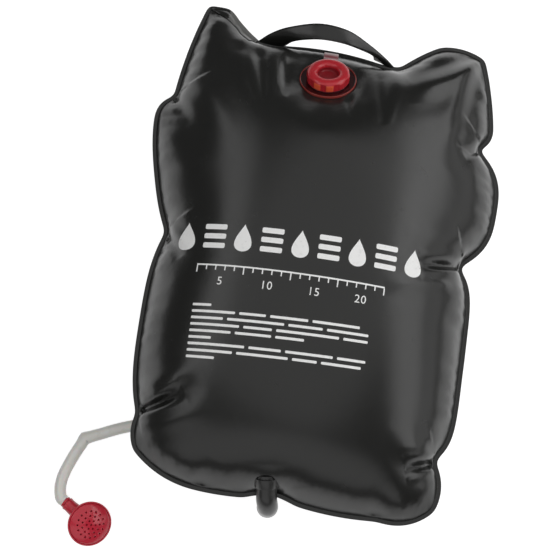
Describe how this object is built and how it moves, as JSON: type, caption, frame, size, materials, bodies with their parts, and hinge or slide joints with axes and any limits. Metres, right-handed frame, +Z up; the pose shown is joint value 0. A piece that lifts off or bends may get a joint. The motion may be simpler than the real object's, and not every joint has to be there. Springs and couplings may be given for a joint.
{
  "type": "camp shower bag",
  "caption": "Filled pillow-shaped camp shower bag of welded PVC sheets, lying on its back, with a tethered screw filler cap, carry handle, outlet hose and a pull-to-open shower head.",
  "frame": {"origin": "on the flat of the bag's underside, below its middle", "axes": "+X across the bag to the right, +Y along it from the outlet end to the handle end, +Z up out of the printed front"},
  "size_m": [0.4188, 0.5909, 0.1681],
  "materials": {
    "black_sheet": "satin black PVC sheet with a fine grain",
    "grey_sheet": "matt light grey PVC sheet",
    "red_moulding": "glossy red moulded plastic",
    "black_vinyl": "satin black soft vinyl moulding",
    "clear_hose": "translucent grey-white vinyl hose",
    "seal_rubber": "dark seal rubber"
  },
  "bodies": {
    "root": {"back_panel": "grey_sheet", "front_panel": "black_sheet", "filler_neck": "red_moulding", "tether_strap": "red_moulding", "outlet_collar": "black_vinyl", "outlet_elbow": "black_vinyl", "hose": "clear_hose", "valve_spigot": "red_moulding", "spigot_oring": "seal_rubber"},
    "cap_lift": {"cap_washer": "seal_rubber", "tether_ring": "red_moulding"},
    "cap": {"filler_cap": "red_moulding"},
    "handle": {"handle_front_ply": "black_sheet", "handle_back_ply": "grey_sheet"},
    "head": {"head_bowl": "red_moulding", "head_rose": "red_moulding"}
  },
  "joints": [
    {"name": "cap_rise", "type": "slide", "parent": "root", "child": "cap_lift", "axis": [-0.0901, 0.5075, 0.8569], "range_m": [0, 0.0038]},
    {"name": "cap_turn", "type": "hinge", "parent": "cap_lift", "child": "cap", "pos_m": [-0.0105, 0.185, 0.113], "axis": [-0.0901, 0.5075, 0.8569], "range_deg": [0, 450]},
    {"name": "handle_swing", "type": "hinge", "parent": "root", "child": "handle", "pos_m": [-0.01349, 0.22939, 0.078], "axis": [0.9994, -0.0334, 0], "range_deg": [-60, 20], "stiffness_Nm_per_rad": 0.06},
    {"name": "head_pull", "type": "slide", "parent": "root", "child": "head", "axis": [0.8434, -0.5373, 0], "range_m": [0, 0.006]}
  ],
  "couplings": [
    {"joint": "cap_rise", "follows": "cap_turn", "m_per_rad": 0.00047746}
  ]
}
